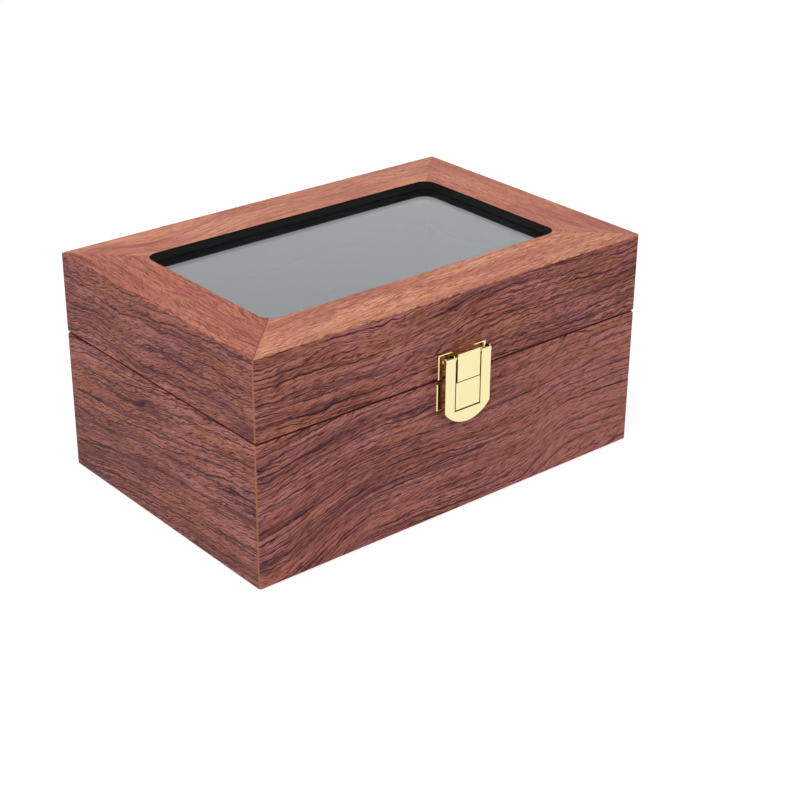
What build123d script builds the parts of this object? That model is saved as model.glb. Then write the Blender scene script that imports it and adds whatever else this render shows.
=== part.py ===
from build123d import *
from math import asin, cos, sin, sqrt
import os

# Watch display box: a mitred wooden case with a glazed lid on two stop hinges, a snap clasp at
# the front, and three lift-out watch pillows between velvet-covered dividers.
# Millimetres. Origin at the middle of the underside, +X along the length, +Y to the back (hinges),
# -Y to the front (clasp), +Z up. The lid is shut and the clasp closed.

# Case
box_length = 165.0
box_depth = 110.0
box_height = 80.0
lid_height = 29.0  # from the base's rim to the top
seam_gap = 0.4  # left open between rim and lid
wall = 8.0  # base boards
lip_clearance = 1.0  # between the liner's lip and the lid's boards
corner_radius = 1.0  # upright outer edges
seam_radius = 0.8  # outer edges along the seam
felt_thickness = 0.6
felt_inset = 2.0
floor_thickness = 3.0
floor_rebate = 4.0  # how far the floor is let into the boards

# Velvet-covered inside of the base
liner_thickness = 1.6
liner_floor_thickness = 1.2
covered_edge = 0.45  # rounding of a covered board's edge, as a share of its thickness
lip_height = 4.0  # stands above the rim
compartments = 3
divider_thickness = 3.0
divider_height = 35.2

# Watch pillows
pillow_side_gap = 1.0
pillow_end_gap = 7.4  # room for the strap and the fingers
pillow_height = 38.0
pillow_rest_gap = 0.3
pillow_edge_radius = 13.0
pillow_crown = 2.5  # rise of the top, and bulge of the ends, over the flat
pillow_draw = 5.0  # how much the cover pulls in at its two sides
pillow_sewn_edge = 6.0  # length of that pulled-in stretch
pillow_ease = 1.0  # what is still pulled in where that stretch ends

# Lid
rail_width = 20.0  # frame round the window
window_radius = 5.0
veneer_thickness = 0.5
veneer_edge_radius = 0.3
board_thickness = 2.5
glass_thickness = 2.0
glass_cover = 5.0  # glass hidden behind the frame
glass_clearance = 0.3
retainer_thickness = 4.5
retainer_edge_radius = 1.0
lid_liner_thickness = 1.2
lid_liner_gap = 1.0  # above the base's lip

# Stop hinges
hinge_from_end = 32.5  # middle of a hinge, from the end of the box
hinge_length = 20.0
hinge_offset = 2.3  # pin centre behind the back of the box
barrel_radius = 1.5
hinge_pin_radius = 0.8
pin_chamfer = 0.2
knuckle_share = 0.42  # of the hinge's length, taken by the lid's knuckle
knuckle_gap = 0.2
leaf_thickness = 0.8
leaf_margin = 0.5  # left between leaf and the inner face of the lid's board
leaf_barrel_gap = 0.15  # leaf edge to the other leaf's knuckle
stop_angle = 95.0
stop_reach = 2.4  # radius of the stop lug
stop_play = 0.03
hinge_screw_spacing = 12.0
screw_radius = 0.9
screw_head_radius = 1.6
screw_length = 8.0

# Clasp
clasp_width = 19.6
clasp_depth = 4.0  # front of the closed clasp, from the front of the box
leg_width = 4.2
skin_thickness = 0.6
skin_edge_radius = 0.3
flap_wall = 0.5
flap_rim = 1.8  # depth of the flap's edge
pin_above_rim = 7.6
pin_from_wall = 2.6
clasp_pin_radius = 0.6
ear_radius = 1.4
leg_above_pin = 1.0
flap_drop = 15.7  # flap's lowest point below the rim
flap_arc_rise = 5.0  # height of the arc that ends the flap
window_drop = 11.0  # lower edge of the flap's window, below the rim
keeper_gap = 0.75  # from the keeper to each leg
catch_gap = 0.4  # from the catch to each leg
plate_thickness = 0.8
plate_edge_radius = 0.4
lid_plate_width = 20.6
lid_plate_height = 8.8
base_plate_width = 21.6
base_plate_height = 9.8
plate_from_rim = 0.6
keeper_below_rim = 0.3
catch_below_rim = 0.8
catch_thickness = 0.4
catch_setback = 0.2  # behind the face of the flap
catch_clearance = 0.3  # over the edge that it snaps on
catch_foot = 4.0
lid_nail_drop = 4.1  # below the flap's pin
nail_spread = 15.2
nail_radius = 0.5
nail_head_radius = 1.0
nail_head_height = 0.5
nail_length = 5.0

# Clearances
running_fit = 0.05
fixed_fit = 0.02
mortise_fit = 0.1

# Levels and faces worked out from the sizes above
half_length = box_length / 2
half_depth = box_depth / 2
lid_wall = wall - lip_clearance
rim_z = box_height - lid_height
lid_z = rim_z + seam_gap
floor_top = felt_thickness + floor_thickness
liner_floor_top = floor_top + liner_floor_thickness
lip_top = rim_z + lip_height
lined_length = box_length - 2 * wall
lined_depth = box_depth - 2 * wall
inner_length = lined_length - 2 * liner_thickness
inner_depth = lined_depth - 2 * liner_thickness
compartment = (inner_length - (compartments - 1) * divider_thickness) / compartments
compartment_pitch = compartment + divider_thickness
lid_inner_length = box_length - 2 * lid_wall
lid_inner_depth = box_depth - 2 * lid_wall
window_length = box_length - 2 * rail_width
window_depth = box_depth - 2 * rail_width
veneer_z = box_height - veneer_thickness
glass_top = veneer_z - board_thickness
retainer_z = glass_top - retainer_thickness
mitre_reach = 0.49 * min(box_length, box_depth)

hinge_y = half_depth + hinge_offset
hinge_z = rim_z + seam_gap / 2
leaf_depth = lid_wall - leaf_margin
screw_y = half_depth - leaf_depth / 2

front_y = -half_depth
pin_y = front_y - pin_from_wall
pin_z = rim_z + pin_above_rim
flap_face_y = front_y - clasp_depth
flap_window = clasp_width - 2 * leg_width
keeper_width = flap_window - 2 * keeper_gap
catch_width = flap_window - 2 * catch_gap
window_bottom = rim_z - window_drop

turn_of_side = {"front": 0, "right": 90, "back": 180, "left": 270}

parts = {}


def block(size_x, size_y, low_z, high_z):
    """A box centred on the origin in plan, between two heights."""
    return Pos(0, 0, (low_z + high_z) / 2) * Box(size_x, size_y, high_z - low_z)


def plate(size_x, size_y, radius, low_z, high_z):
    """A flat plate with rounded corners, between two heights."""
    outline = RectangleRounded(size_x, size_y, radius)
    return Pos(0, 0, low_z) * extrude(outline, high_z - low_z)


def section_of(*points):
    """A closed section with straight edges."""
    return make_face(Polyline(*points, close=True))


def mitre_wedge(side):
    """The part of the box's plan that belongs to one side, up to the 45 degree mitre lines."""
    past = 1.0
    along, across = half_length, half_depth
    if side in ("left", "right"):
        along, across = across, along
    outer, inner = along + past, along - mitre_reach
    outline = section_of(
        (-outer, -across - past),
        (outer, -across - past),
        (inner, -across + mitre_reach),
        (-inner, -across + mitre_reach),
    )
    return Rot(0, 0, turn_of_side[side]) * extrude(outline, 2 * box_height)


wedges = {side: mitre_wedge(side) for side in turn_of_side}


def four_sides(name, ring):
    """Cut a four-sided frame along its mitres, into name_front, name_back, name_left, name_right."""
    for side, wedge in wedges.items():
        parts[f"{name}_{side}"] = ring & wedge


def rounded_at(section, radius, *points):
    """The same section with the corners nearest to these points rounded."""
    corners = [section.vertices().sort_by_distance((*point, 0))[0] for point in points]
    return fillet(corners, radius)


def countersunk(fit=0.0):
    """A screw that points down, its flat head at the origin; fit widens it to the hole for one."""
    radius, head_radius = screw_radius + fit, screw_head_radius + fit
    tip_z = -screw_length - 2 * fit
    half = section_of(
        (0, 0),
        (head_radius, 0),
        (radius, radius - head_radius),
        (radius, tip_z + radius),
        (0, tip_z),
    )
    return revolve(Plane.XZ * half, Axis.Z)


def top_face(shape):
    """The highest face of a shape that stands upright."""
    return shape.faces().sort_by(Axis.Z)[-1]


def bottom_face(shape):
    """Its lowest face."""
    return shape.faces().sort_by(Axis.Z)[0]


def lining(outer_length, outer_depth, thickness, low_z, high_z):
    """A four-sided lining of this thickness, before its edges are rounded."""
    inner = block(outer_length - 2 * thickness, outer_depth - 2 * thickness, low_z, high_z)
    return block(outer_length, outer_depth, low_z, high_z) - inner


def rod_x(radius, run, y, z, x=0.0):
    """A round bar along X, centred at x."""
    return Pos(x, y, z) * Rot(0, 90, 0) * Cylinder(radius, run)


# Base: floor, felt and four boards

floor_length = box_length - 2 * (wall - floor_rebate)
floor_depth = box_depth - 2 * (wall - floor_rebate)
base_ring = plate(box_length, box_depth, corner_radius, felt_thickness, rim_z)
base_ring -= block(floor_length, floor_depth, felt_thickness, floor_top)
base_ring -= block(lined_length, lined_depth, floor_top, rim_z)
base_ring = fillet(top_face(base_ring).outer_wire().edges(), seam_radius)
four_sides("base_wall", base_ring)
parts["base_floor"] = block(floor_length, floor_depth, felt_thickness, floor_top)
parts["base_felt"] = plate(
    box_length - 2 * felt_inset, box_depth - 2 * felt_inset, corner_radius, 0, felt_thickness
)

# Velvet-covered liner, whose rounded upper edge is the lip that the lid closes over

liner_ring = lining(lined_length, lined_depth, liner_thickness, liner_floor_top, lip_top)
liner_ring = fillet(top_face(liner_ring).edges(), covered_edge * liner_thickness)
four_sides("base_liner", liner_ring)
parts["liner_floor"] = block(lined_length, lined_depth, floor_top, liner_floor_top)

divider_top = liner_floor_top + divider_height
divider_half = divider_thickness / 2
divider_section = section_of(
    (-divider_half, liner_floor_top),
    (divider_half, liner_floor_top),
    (divider_half, divider_top),
    (-divider_half, divider_top),
)
divider_round = covered_edge * divider_thickness
divider_section = rounded_at(
    divider_section, divider_round, (-divider_half, divider_top), (divider_half, divider_top)
)
divider = extrude(Plane.XZ * divider_section, inner_depth / 2, both=True)
for number in range(1, compartments):
    x = (number - compartments / 2) * compartment_pitch
    parts[f"divider_{number}"] = Pos(x, 0, 0) * divider


# Watch pillows: the strap goes round the rounded YZ section, and the cover is drawn in at both sides

pillow_width = compartment - 2 * pillow_side_gap
pillow_depth = inner_depth - 2 * pillow_end_gap
pillow_z = liner_floor_top + pillow_rest_gap


def pillow_section(inset):
    """The pillow's YZ outline: crowned top, bulging ends, flat underside, all set in by inset."""
    half = pillow_depth / 2 - inset
    low, high = inset, pillow_height - inset
    middle = (low + high) / 2
    shoulder = high - pillow_crown
    end = half - pillow_crown
    top = ThreePointArc((-end, shoulder), (0, high), (end, shoulder))
    front = ThreePointArc((-end, low), (-half, middle), (-end, shoulder))
    back = ThreePointArc((end, shoulder), (half, middle), (end, low))
    underside = Line((end, low), (-end, low))
    outline = make_face([underside, front, top, back])
    return fillet(outline.vertices(), pillow_edge_radius - inset)


def pillow():
    """One loft through the middle, the ends of both pulled-in stretches and the two sides."""
    half = pillow_width / 2
    shoulder = half - pillow_sewn_edge
    places = (-half, -shoulder, 0, shoulder, half)
    insets = (pillow_draw, pillow_ease, 0, pillow_ease, pillow_draw)
    sections = []
    for x, inset in zip(places, insets):
        sections.append(Plane.YZ.offset(x) * Pos(0, pillow_z) * pillow_section(inset))
    return loft(sections)


for number in range(compartments):
    x = (number - (compartments - 1) / 2) * compartment_pitch
    parts[f"pillow_{number + 1}"] = Pos(x, 0, 0) * pillow()

# Lid: four boards, top board, mitred top veneers, glass, retainer and liners

lid_ring = plate(box_length, box_depth, corner_radius, lid_z, veneer_z)
lid_ring -= block(lid_inner_length, lid_inner_depth, lid_z, veneer_z)
lid_ring = fillet(bottom_face(lid_ring).outer_wire().edges(), seam_radius)
four_sides("lid_wall", lid_ring)

window = plate(window_length, window_depth, window_radius, retainer_z - 1, box_height + 1)
parts["lid_top_board"] = (
    block(lid_inner_length, lid_inner_depth, glass_top, veneer_z) - window
)

veneer_sheet = plate(box_length, box_depth, corner_radius, veneer_z, box_height)
veneer_sheet = fillet(top_face(veneer_sheet).edges(), veneer_edge_radius) - window
four_sides("top_veneer", veneer_sheet)

glass_length = window_length + 2 * glass_cover
glass_depth = window_depth + 2 * glass_cover
glass_z = glass_top - glass_thickness
parts["glass_pane"] = block(glass_length, glass_depth, glass_z, glass_top)

retainer = block(lid_inner_length, lid_inner_depth, retainer_z, glass_top) - window
retainer = fillet(bottom_face(retainer).inner_wires()[0].edges(), retainer_edge_radius)
glass_pocket = block(
    glass_length + 2 * glass_clearance, glass_depth + 2 * glass_clearance, glass_z, glass_top
)
parts["glass_retainer"] = retainer - glass_pocket

lid_liner_z = lip_top + lid_liner_gap
lid_liner_ring = lining(
    lid_inner_length, lid_inner_depth, lid_liner_thickness, lid_liner_z, retainer_z
)
lower_edge = bottom_face(lid_liner_ring).inner_wires()[0].edges()
four_sides("lid_liner", fillet(lower_edge, covered_edge * lid_liner_thickness))

# Stop hinges

knuckle_length = knuckle_share * hinge_length
outer_knuckle = (hinge_length - knuckle_length) / 2 - knuckle_gap
outer_knuckle_x = (hinge_length - outer_knuckle) / 2
leaf_near = barrel_radius + leaf_barrel_gap
base_leaf_top = rim_z
lid_leaf_top = lid_z + leaf_thickness


def leaf_plate(top_z):
    """The flat of one leaf, from its inner edge to just short of the other leaf's knuckle."""
    inner_y = half_depth - leaf_depth
    outer_y = hinge_y - leaf_near
    sheet = block(hinge_length, outer_y - inner_y, top_z - leaf_thickness, top_z)
    return Pos(0, (outer_y + inner_y) / 2, 0) * sheet


def knuckle(run, x, top_z, bore_fit):
    """A knuckle rolled from a leaf: barrel, the strip that joins it to the leaf, and its bore."""
    strip = Pos(x, hinge_y - leaf_near, 0) * block(
        run, 2 * leaf_near, top_z - leaf_thickness, top_z
    )
    bore = rod_x(hinge_pin_radius + bore_fit, hinge_length, hinge_y, hinge_z)
    return (rod_x(barrel_radius, run, hinge_y, hinge_z, x) + strip) - bore


def stop_lug(run, x):
    """The tooth on a base knuckle that the lid's leaf meets when the lid stands at stop_angle.

    It is drawn over the upper face of the shut leaf, inside stop_reach, and then turned with it.
    """
    face_z = lid_leaf_top - hinge_z + stop_play
    over_leaf = Pos(-stop_reach / 2, face_z + stop_reach / 2) * Rectangle(stop_reach, stop_reach)
    tooth = extrude(Plane.YZ * (Circle(stop_reach) & over_leaf), run / 2, both=True)
    return Pos(x, hinge_y, hinge_z) * Rot(-stop_angle, 0, 0) * tooth


def screws_in_leaf(x, face_z, tilt, fit=0.0):
    """The two screws of the leaf at x, or their holes, entering at one face of the leaf."""
    spots = (x - hinge_screw_spacing / 2, x + hinge_screw_spacing / 2)
    return [Pos(spot, screw_y, face_z) * Rot(tilt, 0, 0) * countersunk(fit) for spot in spots]


base_leaf = leaf_plate(base_leaf_top)
for x in (-outer_knuckle_x, outer_knuckle_x):
    base_leaf += knuckle(outer_knuckle, x, base_leaf_top, fixed_fit)
    base_leaf += stop_lug(outer_knuckle, x)

lid_leaf = leaf_plate(lid_leaf_top) + knuckle(knuckle_length, 0, lid_leaf_top, running_fit)

hinge_pin = chamfer(
    rod_x(hinge_pin_radius, hinge_length, hinge_y, hinge_z).edges().filter_by(GeomType.CIRCLE),
    pin_chamfer,
)

base_screws = []
lid_screws = []
hinge_x = half_length - hinge_from_end
for side, x in (("left", -hinge_x), ("right", hinge_x)):
    mortise = Pos(x, half_depth, 0) * block(
        hinge_length + 2 * mortise_fit,
        2 * (leaf_depth + mortise_fit),
        base_leaf_top - leaf_thickness,
        lid_leaf_top,
    )
    base_holes = screws_in_leaf(x, base_leaf_top, 0, running_fit)
    lid_holes = screws_in_leaf(x, lid_z, 180, running_fit)
    parts[f"hinge_base_leaf_{side}"] = Pos(x, 0, 0) * base_leaf - base_holes
    parts[f"hinge_lid_leaf_{side}"] = Pos(x, 0, 0) * lid_leaf - lid_holes
    parts[f"hinge_pin_{side}"] = Pos(x, 0, 0) * hinge_pin
    parts["base_wall_back"] -= [mortise, *base_holes]
    parts["lid_wall_back"] -= [mortise, *lid_holes]
    base_screws += screws_in_leaf(x, base_leaf_top, 0)
    lid_screws += screws_in_leaf(x, lid_z, 180)
parts["hinge_base_screws"] = Compound(base_screws)
parts["hinge_lid_screws"] = Compound(lid_screws)

# Clasp

front = Plane.XZ.offset(half_depth)  # the box's front face, seen from the front


def front_plate(width, low_z, high_z, thickness):
    """A flat plate on the front of the box."""
    outline = Pos(0, (low_z + high_z) / 2) * Rectangle(width, high_z - low_z)
    return extrude(front * outline, thickness)


def stamped_plate(width, low_z, high_z):
    """A plate of the clasp, its front edges rounded by the stamping."""
    sheet = front_plate(width, low_z, high_z, plate_thickness)
    return fillet(sheet.faces().sort_by(Axis.Y)[0].edges(), plate_edge_radius)


def flap_outline(inset, leg_top):
    """The flap seen from the front: two legs, a bar between them and a round lower end."""
    side = clasp_width / 2 - inset
    inner = flap_window / 2 + inset
    bar_top = window_bottom - inset
    full_radius = ((clasp_width / 2) ** 2 + flap_arc_rise**2) / (2 * flap_arc_rise)
    centre_z = rim_z - flap_drop + full_radius
    radius = full_radius - inset
    side_z = centre_z - sqrt(radius**2 - side**2)
    arc = ThreePointArc((-side, side_z), (0, centre_z - radius), (side, side_z))
    rest = Polyline(
        (side, side_z),
        (side, leg_top),
        (inner, leg_top),
        (inner, bar_top),
        (-inner, bar_top),
        (-inner, leg_top),
        (-side, leg_top),
        (-side, side_z),
    )
    return make_face([arc, rest])


def clasp_flap():
    """A pressed flap: front skin, a rim all round it, and an ear round the pin on each leg wall."""
    leg_top = pin_z + leg_above_pin
    back = Plane.XZ.offset(-flap_face_y - flap_rim)
    flap = extrude(back * flap_outline(0, leg_top), flap_rim)
    rounded = flap.faces().sort_by(Axis.Y)[0].edges()
    flap = fillet(rounded, skin_edge_radius)
    hollow = extrude(back * flap_outline(flap_wall, leg_top + flap_wall), flap_rim - skin_thickness)
    flap -= hollow
    outer_ear = clasp_width / 2 - flap_wall / 2
    inner_ear = flap_window / 2 + flap_wall / 2
    for x in (-outer_ear, -inner_ear, inner_ear, outer_ear):
        flap += rod_x(ear_radius, flap_wall, pin_y, pin_z, x)
    return flap - rod_x(clasp_pin_radius + running_fit, clasp_width + 1, pin_y, pin_z)


def clasp_lid_plate():
    """The lid's plate with the keeper folded out of its top: a shelf, a tongue and two cheeks."""
    low = rim_z + plate_from_rim
    top = low + lid_plate_height
    bottom = rim_z - keeper_below_rim
    keeper = front_plate(keeper_width, bottom, top, clasp_depth)
    upright = keeper.faces().sort_by(Axis.Y)[0].edges().filter_by(Axis.X).sort_by(Axis.Z)[-1]
    keeper = fillet(upright, skin_edge_radius)
    keeper -= front_plate(
        keeper_width - 2 * skin_thickness, bottom, top - skin_thickness, clasp_depth - skin_thickness
    )
    keeper -= front_plate(keeper_width, bottom, low, plate_thickness)
    sheet = stamped_plate(lid_plate_width, low, top)
    bore = rod_x(clasp_pin_radius + fixed_fit, clasp_width, pin_y, pin_z)
    return sheet + keeper - bore


def clasp_catch():
    """The sprung leaf: a foot on the base plate, a shelf, the face and a short return under it."""
    top = rim_z - catch_below_rim
    bottom = window_bottom + catch_clearance
    face_y = flap_face_y + catch_setback
    foot_y = front_y - plate_thickness
    t = catch_thickness
    return_y = face_y + flap_rim
    section = section_of(
        (foot_y, top - catch_foot),
        (foot_y, top),
        (face_y, top),
        (face_y, bottom),
        (return_y, bottom),
        (return_y, bottom + t),
        (face_y + t, bottom + t),
        (face_y + t, top - t),
        (foot_y - t, top - t),
        (foot_y - t, top - catch_foot),
    )
    section = rounded_at(section, t, (face_y, top), (face_y, bottom))
    return extrude(Plane.YZ * section, catch_width / 2, both=True)


def clasp_nail():
    """A nail with a low domed head, driven in from the front."""
    head, rise = nail_head_radius, nail_head_height
    dome_radius = (head**2 + rise**2) / (2 * rise)
    half_angle = asin(head / dome_radius) / 2
    crest = (dome_radius * sin(half_angle), rise - dome_radius * (1 - cos(half_angle)))
    dome = ThreePointArc((head, 0), crest, (0, rise))
    rest = Polyline(
        (0, rise), (0, -nail_length), (nail_radius, -nail_length), (nail_radius, 0), (head, 0)
    )
    nail = revolve(Plane.XZ * make_face([dome, rest]), Axis.Z)
    return Rot(90, 0, 0) * nail


def nailed(plate_node, board_node, nails_node, z):
    """Two nails through a plate into the board behind it, each in its own hole."""
    nail_depth = nail_length + fixed_fit
    drill = Rot(90, 0, 0) * Cylinder(nail_radius + fixed_fit, 2 * nail_depth)
    spots = [Pos(x, front_y - plate_thickness, z) for x in (-nail_spread / 2, nail_spread / 2)]
    holes = [spot * drill for spot in spots]
    parts[plate_node] -= holes
    parts[board_node] -= holes
    parts[nails_node] = Compound([spot * clasp_nail() for spot in spots])


base_plate_z = rim_z - plate_from_rim - base_plate_height
parts["clasp_flap"] = clasp_flap()
parts["clasp_lid_plate"] = clasp_lid_plate()
parts["clasp_pin"] = rod_x(clasp_pin_radius, clasp_width - flap_wall, pin_y, pin_z)
parts["clasp_base_plate"] = stamped_plate(
    base_plate_width, base_plate_z, base_plate_z + base_plate_height
)
parts["clasp_catch"] = clasp_catch()
nailed("clasp_lid_plate", "lid_wall_front", "clasp_lid_nails", pin_z - lid_nail_drop)
nailed("clasp_base_plate", "base_wall_front", "clasp_base_nails", base_plate_z + base_plate_height / 2)

os.makedirs("parts", exist_ok=True)
for node, shape in parts.items():
    export_step(shape, f"parts/{node}.step")
print(len(parts), "parts")
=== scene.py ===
# %% [markdown]
# # A rosewood watch box, finished in Blender
#
# The box comes in as a fixed model: every board, plate and screw already has its real size and
# place, in metres, and moves with its own body. This lesson gives those pieces their finishes and
# builds anew what is poor as a solid: sewn velvet pillows, a felt pad and threaded screws.
# Origin at the middle of the underside, X along the length, the clasp at -Y, Z up.

# %% Load the model
from math import cos, pi, radians, sin

import bpy
import numpy as np
from mathutils import Matrix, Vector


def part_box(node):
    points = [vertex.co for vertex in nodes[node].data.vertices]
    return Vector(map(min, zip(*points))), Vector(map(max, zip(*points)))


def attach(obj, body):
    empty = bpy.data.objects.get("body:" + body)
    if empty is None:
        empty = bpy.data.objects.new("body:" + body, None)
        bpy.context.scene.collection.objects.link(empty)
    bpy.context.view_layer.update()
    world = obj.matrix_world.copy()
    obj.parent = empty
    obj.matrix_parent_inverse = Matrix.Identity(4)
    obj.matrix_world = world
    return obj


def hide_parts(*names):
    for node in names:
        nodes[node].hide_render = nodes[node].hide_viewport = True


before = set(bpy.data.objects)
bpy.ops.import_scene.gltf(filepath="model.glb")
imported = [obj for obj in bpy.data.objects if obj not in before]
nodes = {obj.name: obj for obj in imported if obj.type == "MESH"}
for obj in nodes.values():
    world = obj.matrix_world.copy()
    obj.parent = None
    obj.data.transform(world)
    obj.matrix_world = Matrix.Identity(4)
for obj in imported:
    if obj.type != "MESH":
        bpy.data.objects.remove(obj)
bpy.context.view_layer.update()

# %% [markdown]
# ## Sizes
#
# Sizes are read from the model's own pieces instead of being typed again, so a changed model
# changes the dressing with it. `MM` turns millimetres, in which small work is easier to think,
# into Blender's metres.

# %% Sizes read from the model
MM = 0.001
half_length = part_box("base_wall_right")[1].x
half_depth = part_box("base_wall_back")[1].y
box_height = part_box("top_veneer_front")[1].z
print("half length, half depth, height:", half_length, half_depth, box_height)

# %% [markdown]
# ## Camera
#
# A photograph of a box gives its camera away: three families of parallel edges fix where the
# lens stood. The camera is written as a place, two angles and a small roll, and the lens as its
# focal length in pixels of an image 800 wide, which a 36 mm sensor turns into millimetres.

# %% Camera
camera_place = np.array([-353.8, -442.16, 297.26]) * MM
camera_azimuth = -0.7028  # radians, turned from looking along +Y
camera_elevation = 0.4546
camera_roll = 0.0093
focal_pixels = 1769.5
image_pixels = 800
sensor_width = 36.0


def camera_axes(azimuth, elevation, roll):
    """Right, up and back of a camera that looks along azimuth, down by elevation, then rolls."""
    ahead = np.array(
        [-sin(azimuth) * cos(elevation), cos(azimuth) * cos(elevation), -sin(elevation)]
    )
    right = np.cross(ahead, [0, 0, 1])
    right /= np.linalg.norm(right)
    up = np.cross(right, ahead)
    rolled_right = cos(roll) * right + sin(roll) * up
    rolled_up = cos(roll) * up - sin(roll) * right
    return np.column_stack([rolled_right, rolled_up, -ahead])


camera = bpy.data.objects.new("camera", bpy.data.cameras.new("camera"))
bpy.context.scene.collection.objects.link(camera)
camera.data.sensor_width = sensor_width
camera.data.lens = focal_pixels * sensor_width / image_pixels
camera.data.clip_start, camera.data.clip_end = 0.01, 50
camera_matrix = np.eye(4)
camera_matrix[:3, :3] = camera_axes(camera_azimuth, camera_elevation, camera_roll)
camera_matrix[:3, 3] = camera_place
camera.matrix_world = Matrix(camera_matrix.tolist())
bpy.context.scene.camera = camera
bpy.context.scene.view_settings.view_transform = "Standard"
print("lens", round(camera.data.lens, 2), "mm")

# %% [markdown]
# ## A small language for materials
#
# Shader nodes are wired by hand in Blender's editor. In a script the wiring drowns the idea, so
# this class keeps a material under construction, and each method adds one node and gives back
# its output socket. Patterns are made of noise read at the object's own coordinates, turned into
# millimetres, so a pattern has a real size and stays on its piece when the lid opens.


# %% The material builder
class Finish:
    """A material under construction, built back from its surface to its patterns."""

    def __init__(self, name):
        self.material = bpy.data.materials.new(name)
        self.material.use_nodes = True
        self.tree = self.material.node_tree
        self.tree.nodes.clear()
        place = self.add("ShaderNodeTexCoord").outputs["Object"]
        self.place = self.vector("SCALE", place, Scale=1 / MM)
        self.x, self.y, self.z = self.add("ShaderNodeSeparateXYZ", {0: self.place}).outputs

    def add(self, kind, inputs=(), **settings):
        """One node; inputs maps a socket's name or number to a value or to another output."""
        made = self.tree.nodes.new(kind)
        for key, value in settings.items():
            setattr(made, key, value)
        for key, value in dict(inputs).items():
            if isinstance(value, bpy.types.NodeSocket):
                self.tree.links.new(value, made.inputs[key])
            else:
                made.inputs[key].default_value = value
        return made

    def maths(self, operation, *values, clamp=False):
        """Arithmetic on single values."""
        inputs = dict(enumerate(values))
        made = self.add("ShaderNodeMath", inputs, operation=operation, use_clamp=clamp)
        return made.outputs[0]

    def vector(self, operation, *values, **sockets):
        """Arithmetic on vectors."""
        inputs = {**dict(enumerate(values)), **sockets}
        return self.add("ShaderNodeVectorMath", inputs, operation=operation).outputs[0]

    def join(self, x, y, z):
        """A vector from three values."""
        return self.add("ShaderNodeCombineXYZ", {0: x, 1: y, 2: z}).outputs[0]

    def noise(self, place, grain, seed=0.0, detail=2.0, roughness=0.5):
        """Smooth noise from 0 to 1 whose lumps are about grain millimetres long on each axis."""
        shrink = tuple(1.0 / length for length in grain)
        scaled = self.vector("MULTIPLY_ADD", place, shrink, (seed, 1.7 * seed, 2.3 * seed))
        sockets = {"Vector": scaled, "Scale": 1.0, "Detail": detail, "Roughness": roughness}
        return self.add("ShaderNodeTexNoise", sockets).outputs["Fac"]

    def step(self, value, low, high, out_low=0.0, out_high=1.0):
        """A smooth step of value from low to high, scaled to out_low .. out_high."""
        sockets = {0: value, 1: low, 2: high, 3: out_low, 4: out_high}
        made = self.add("ShaderNodeMapRange", sockets, interpolation_type="SMOOTHSTEP")
        return made.outputs[0]

    def blend(self, share, first, second, mode="MIX"):
        """first turned into second by share; colours are RGBA."""
        made = self.add("ShaderNodeMix", {0: share, 6: first, 7: second}, data_type="RGBA")
        made.blend_type = mode
        return made.outputs[2]

    def bump(self, height, depth):
        """A normal tilted by height, where height 1 is depth millimetres."""
        sockets = {"Height": height, "Distance": depth * MM, "Strength": 1.0}
        return self.add("ShaderNodeBump", sockets).outputs[0]

    def surface(self, **sockets):
        """The final shader; underscores in a socket's name stand for its spaces."""
        named = {key.replace("_", " "): value for key, value in sockets.items()}
        shader = self.add("ShaderNodeBsdfPrincipled", named).outputs[0]
        self.add("ShaderNodeOutputMaterial", {"Surface": shader})
        return self.material


def colour(red, green, blue):
    """An RGBA colour from the 0 to 255 values in which a screen shows it, made linear."""
    screen = np.array([red, green, blue]) / 255
    linear = np.where(screen <= 0.04045, screen / 12.92, ((screen + 0.055) / 1.055) ** 2.4)
    return (*linear.tolist(), 1.0)


def dress(material, *names):
    """Give CAD pieces this material in place of their plain one."""
    for name in names:
        slots = nodes[name].data.materials
        slots.clear()
        slots.append(material)


# %% [markdown]
# ## Rosewood veneer
#
# The boards wear a veneer: reddish brown with purple-black lines that run side by side along the
# board, climb over a buried knot and wobble as they go. A picture of veneer could be wrapped round
# the box, but it would repeat or end in the wrong place, and a formula never does. Wood is drawn
# here as noise that is long with the grain and thin across it, and as numbered lines. What makes
# it wood, and not stripes, is that the place is bent before any of them is read: first a slope
# and slow swells, then ripples of three or four sizes, all shared, so every layer bends together.

# %% Two woods
side_wood = {  # all lengths in millimetres
    "light": colour(177, 113, 105),
    "middle": colour(152, 91, 84),
    "warm": colour(156, 96, 68),
    "dark": colour(34, 12, 26),
    "pore": colour(70, 24, 28),
    "fibre": 0.85,  # strength of the short hairs between the lines
    "ripples": (  # size of the waves on each axis, and how far they push
        ((60, 30, 40), 9.0),
        ((16, 8, 15), 2.6),
        ((4.2, 3.0, 5), 1.4),
        ((1.8, 1.2, 3), 0.4),
    ),
    "bold": (2.9, 55.0),  # spacing and run of the lines
    "thin": (1.7, 40.0),
    "hair": (0.95, 22.0),
}
# The top's wood is paler than the sides': partly a lighter veneer, partly painted light from above.
top_wood = {
    "light": colour(212, 148, 122),
    "middle": colour(184, 114, 98),
    "warm": colour(205, 138, 106),
    "dark": colour(100, 46, 48),
    "pore": colour(132, 66, 50),
    "fibre": 0.75,
    "ripples": (((60, 20, 40), 8.0), ((16, 9, 15), 1.6), ((2.6, 1.6, 4), 0.6)),
    "bold": (3.4, 22.0),
    "thin": (1.7, 7.0),
    "hair": (1.1, 4.0),
}
stained_edge = colour(104, 46, 34)
inner_stain = colour(34, 15, 11)
pale_corner_tone = colour(160, 104, 80)
print("middle tones:", np.round(side_wood["middle"], 3), np.round(top_wood["middle"], 3))


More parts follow.
